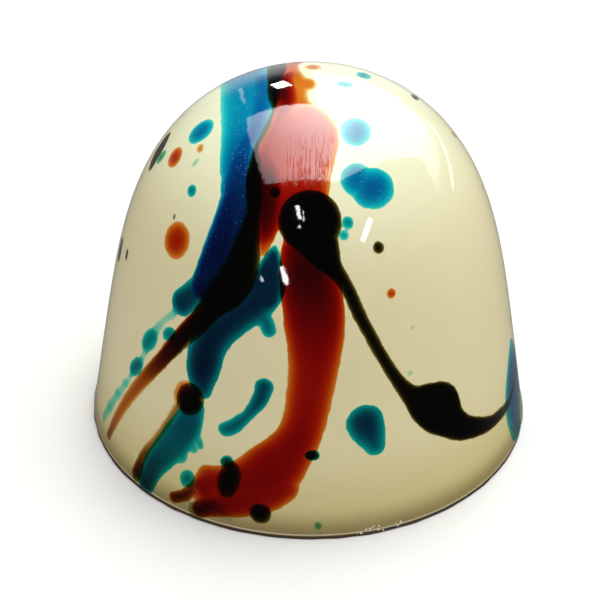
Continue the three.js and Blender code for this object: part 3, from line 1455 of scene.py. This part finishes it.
@dataclass(frozen=True)
class CameraView:
    """The camera: where it looks from, and at what.

    Attributes:
        away: Distance from what it looks at, in metres.
        rise: Its angle above the horizon, in degrees.
        roll: Its turn about its own line of sight, in degrees.
        aim: What it looks at, in metres.
        lens: Focal length, in millimetres.
        nearest: Nearest distance that it sees, in metres.
    """

    away: float = 0.130
    rise: float = 34.217
    roll: float = 0.55
    aim: tuple[float, float, float] = (-0.000603, 0.0, 0.007842)
    lens: float = 122.8
    nearest: float = 0.01

    def place(self) -> None:
        """Makes the camera and gives it to the scene."""
        rise, roll = math.radians(self.rise), math.radians(self.roll)
        back = Vector((0, -math.cos(rise), math.sin(rise)))
        up = Vector((0, math.sin(rise), math.cos(rise)))
        right = Vector((1, 0, 0))
        turned_right = math.cos(roll) * right + math.sin(roll) * up
        turned_up = math.cos(roll) * up - math.sin(roll) * right
        data = bpy.data.cameras.new("camera")
        data.lens = self.lens
        data.clip_start = self.nearest
        camera = bpy.data.objects.new("camera", data)
        facing = Matrix((turned_right, turned_up, back)).transposed().to_4x4()
        camera.matrix_world = Matrix.Translation(Vector(self.aim) + back * self.away) @ facing
        bpy.context.scene.collection.objects.link(camera)
        bpy.context.scene.camera = camera


@dataclass(frozen=True)
class Panel:
    """The wide panel overhead whose reflection lies on the crown.

    Its edges are places on a level sheet one unit above the bonbon: across is +X and back is +Y.

    Attributes:
        left: Place of its left edge straight above.
        left_lean: How far that edge moves across for each unit back.
        near: Place of its near edge.
        near_rise: How far the near edge draws back for each unit across, right of near_turn.
        near_turn: Where the near edge starts to draw back.
        far: Place of its far edge, left of far_open.
        far_open: Where the far edge opens on to the bright room behind.
        radiance: Its brightness at its left end and in its middle.
        right_share: Share of that brightness at its right.
        near_share: Share of its brightness that it has along the near edge.
        fade_back: How far behind the near edge it is at its brightest.
        glow: Brightness of the room behind it.
        brightest: Place across where it is at its brightest.
        dim_right: Places across where its right end starts to dim and is dimmest.
        glow_fade: Places across where the room's glow starts to fade and is gone.
        glow_end: Place back where the glow ends, and how softly.
        softness: How soft its left and near edges are.
        far_softness: How soft its far edge is.
        open_softness: How soft the end of the glow is at far_open.
    """

    left: float = -0.55
    left_lean: float = -0.11
    near: float = -0.31
    near_rise: float = 0.9
    near_turn: float = 0.28
    far: float = 0.9
    far_open: float = 0.04
    radiance: tuple[float, float] = (4.0, 13.0)
    right_share: float = 0.62
    near_share: float = 0.65
    fade_back: float = 0.75
    glow: float = 4.5
    brightest: float = 0.08
    dim_right: tuple[float, float] = (0.18, 0.42)
    glow_fade: tuple[float, float] = (1.6, 3.6)
    glow_end: tuple[float, float] = (4.5, 1.5)
    softness: float = 0.012
    far_softness: float = 0.02
    open_softness: float = 0.03

    LOWEST = 0.03  # rise, as a share of straight up, below which the sheet isn't seen

    def wire(self, wiring: Wiring, way: bpy.types.NodeSocket) -> bpy.types.NodeSocket:
        """Wires the panel's brightness by direction.

        Args:
            wiring: The world's wiring.
            way: Direction looked along.

        Returns:
            The brightness.
        """
        parts = wiring.add("ShaderNodeSeparateXYZ", {0: way}).outputs
        rise = wiring.math("MAXIMUM", parts[2], self.LOWEST)
        across = wiring.math("DIVIDE", parts[0], rise)
        back = wiring.math("DIVIDE", parts[1], rise)
        seen = wiring.math("GREATER_THAN", parts[2], self.LOWEST)
        beyond = wiring.step(back, self.far, self.far_softness)
        before = wiring.math("SUBTRACT", 1.0, beyond)
        panel = wiring.math("MULTIPLY", self.wire_panel(wiring, across, back), before)
        glow = wiring.math("MULTIPLY", self.wire_glow(wiring, across, back), beyond)
        return wiring.math("MULTIPLY", seen, wiring.math("ADD", panel, glow))

    def wire_panel(
        self, wiring: Wiring, across: bpy.types.NodeSocket, back: bpy.types.NodeSocket
    ) -> bpy.types.NodeSocket:
        """Wires the panel itself, as if it had no far edge.

        Args:
            wiring: The world's wiring.
            across: Place across the sheet.
            back: Place back on the sheet.

        Returns:
            Its brightness.
        """
        leaned = wiring.math("MULTIPLY_ADD", back, -self.left_lean, across)
        past = wiring.math("MAXIMUM", wiring.math("SUBTRACT", across, self.near_turn), 0.0)
        drawn = wiring.math("MULTIPLY_ADD", past, -self.near_rise, back)
        return wiring.product(
            wiring.step(leaned, self.left, self.softness),
            wiring.step(drawn, self.near, self.softness),
            wiring.ramp(across, self.left, self.brightest, *self.radiance),
            wiring.ramp(across, *self.dim_right, 1.0, self.right_share),
            wiring.ramp(drawn, self.near, self.near + self.fade_back, self.near_share, 1.0),
        )

    def wire_glow(
        self, wiring: Wiring, across: bpy.types.NodeSocket, back: bpy.types.NodeSocket
    ) -> bpy.types.NodeSocket:
        """Wires the glow of the room behind the panel.

        Args:
            wiring: The world's wiring.
            across: Place across the sheet.
            back: Place back on the sheet.

        Returns:
            Its brightness.
        """
        return wiring.product(
            wiring.step(across, self.far_open, self.open_softness),
            wiring.ramp(across, *self.glow_fade, self.glow, 0.0),
            wiring.math("SUBTRACT", 1.0, wiring.step(back, *self.glow_end)),
        )


@dataclass(frozen=True)
class Studio:
    """The floor, the room and the lamps around the bonbon. Sizes in metres.

    Attributes:
        floor_size: Half the floor's side.
        surroundings: Brightness of the room as matt surfaces see it.
        gloom: Brightness of most of the room, as gloss reflects it.
        back_wall: Brightness that low surroundings behind add to that, and straight behind.
        low: Rise below which the wall behind is seen, as a share of straight up, and its softness.
        around: Where the wall starts towards the back, as a share of straight back, and its softness.
        behind: Where its brightest part starts, and its softness.
        backdrop: Colour of the room as the camera sees it.
        lamps: The lamps.
    """

    floor_size: float = 1.5
    surroundings: float = 0.395
    gloom: float = 0.04
    back_wall: tuple[float, float] = (0.15, 0.6)
    low: tuple[float, float] = (0.2, 0.15)
    around: tuple[float, float] = (0.45, 0.4)
    behind: tuple[float, float] = (0.95, 0.05)
    backdrop: Color = (0.98, 0.98, 0.975)
    lamps: tuple[Lamp, ...] = (
        Lamp("key", 132, 77, (0.34, 0.26), 5.35, Reach.SOFT_LIGHT, 0.36, (0.98, 1.0, 0.985)),
        Lamp("fill on the left", -70, 50, (0.2, 0.2), 0.3, Reach.SOFT_LIGHT, 0.4, (0.98, 1.0, 0.98)),
        Lamp("window pane on the drop", -11.8, 50.5, (0.012, 0.045), 26.0, roll=16),
        Lamp("second pane", -6.8, 48.5, (0.003, 0.034), 26.0, roll=8),
        Lamp("low pane", -9.0, 42.0, (0.004, 0.009), 26.0),
        Lamp("window behind", -170.2, 26.7, (0.023, 0.036), 30.0, roll=8),
        Lamp("low window", -15.9, 16.1, (0.012, 0.043), 28.0, roll=33),
        Lamp("window to the right", 41.9, 34, (0.016, 0.076), 24.0, roll=-48),
        Lamp("slit on the left", -158, 22.3, (0.005, 0.11), 1.5, roll=-23),
        Lamp("spark on the left", -29.1, 12.5, (0.0025, 0.016), 20.0, roll=44),
        Lamp("strip on the right", 132, 8, (0.17, 0.012), 3.0),
    )

    def make(self, unevenness: Unevenness) -> None:
        """Builds the floor, the world, the lamps and the camera.

        Args:
            unevenness: The effect for the floor's cloudiness.
        """
        self.lay_floor(unevenness)
        self.make_world()
        for lamp in self.lamps:
            lamp.place(Vector((0, 0, CAD_BOX[1][2] / 2)))
        CameraView().place()
        bpy.context.scene.view_settings.view_transform = "Standard"

    def lay_floor(self, unevenness: Unevenness) -> None:
        """Lays the floor that the bonbon stands on.

        Args:
            unevenness: The effect for its cloudiness.
        """
        bm = bmesh.new()
        bmesh.ops.create_grid(bm, x_segments=4, y_segments=4, size=self.floor_size)
        mesh = bpy.data.meshes.new("floor")
        bm.to_mesh(mesh)
        bm.free()
        mesh.materials.append(PaleFloor().make(unevenness))
        floor = bpy.data.objects.new("floor", mesh)
        floor.visible_glossy = False
        bpy.context.scene.collection.objects.link(floor)

    def make_world(self) -> None:
        """Makes the room: even for matt surfaces; for gloss dark, with the panel and a light wall behind."""
        world = bpy.data.worlds.new("room")
        world.use_nodes = True
        bpy.context.scene.world = world
        wiring = Wiring(world.node_tree)
        way = wiring.add("ShaderNodeTexCoord", {}).outputs["Generated"]
        parts = wiring.add("ShaderNodeSeparateXYZ", {0: way}).outputs
        low = wiring.math("SUBTRACT", 1.0, wiring.step(parts[2], *self.low))
        around = wiring.math("MULTIPLY", wiring.step(parts[1], *self.around), self.back_wall[0])
        behind = wiring.math("MULTIPLY", wiring.step(parts[1], *self.behind), self.back_wall[1])
        wall = wiring.math("MULTIPLY", low, wiring.math("ADD", around, behind))
        room = wiring.math("ADD", wiring.math("ADD", wall, self.gloom), Panel().wire(wiring, way))
        path = wiring.add("ShaderNodeLightPath", {})
        matt = rgba((self.surroundings,) * 3)
        seen = wiring.mix(path.outputs["Is Glossy Ray"], matt, room)
        seen = wiring.mix(path.outputs["Is Camera Ray"], seen, rgba(self.backdrop))
        wiring.feed(world.node_tree.nodes["Background"], {"Color": seen})


# ---------------------------------------------------------------- the bonbon


def main() -> None:
    """Builds the bonbon's pieces and the studio around it."""
    logging.basicConfig(level=logging.INFO, format="%(name)s: %(message)s")
    outline = Outline(*CAD_BOX)
    unevenness = Unevenness()
    Shell(outline).make(IvoryShell().make(unevenness, Film(), PearlSpecks()))
    ClosingLayer(outline.base_radius + ClosingLayer.OVERLAP).make(ScrapedChocolate().make(unevenness))
    Crumbs(outline).make(IvoryCrumbs().make(unevenness))
    Studio().make(unevenness)


if __name__ == "__main__":
    main()
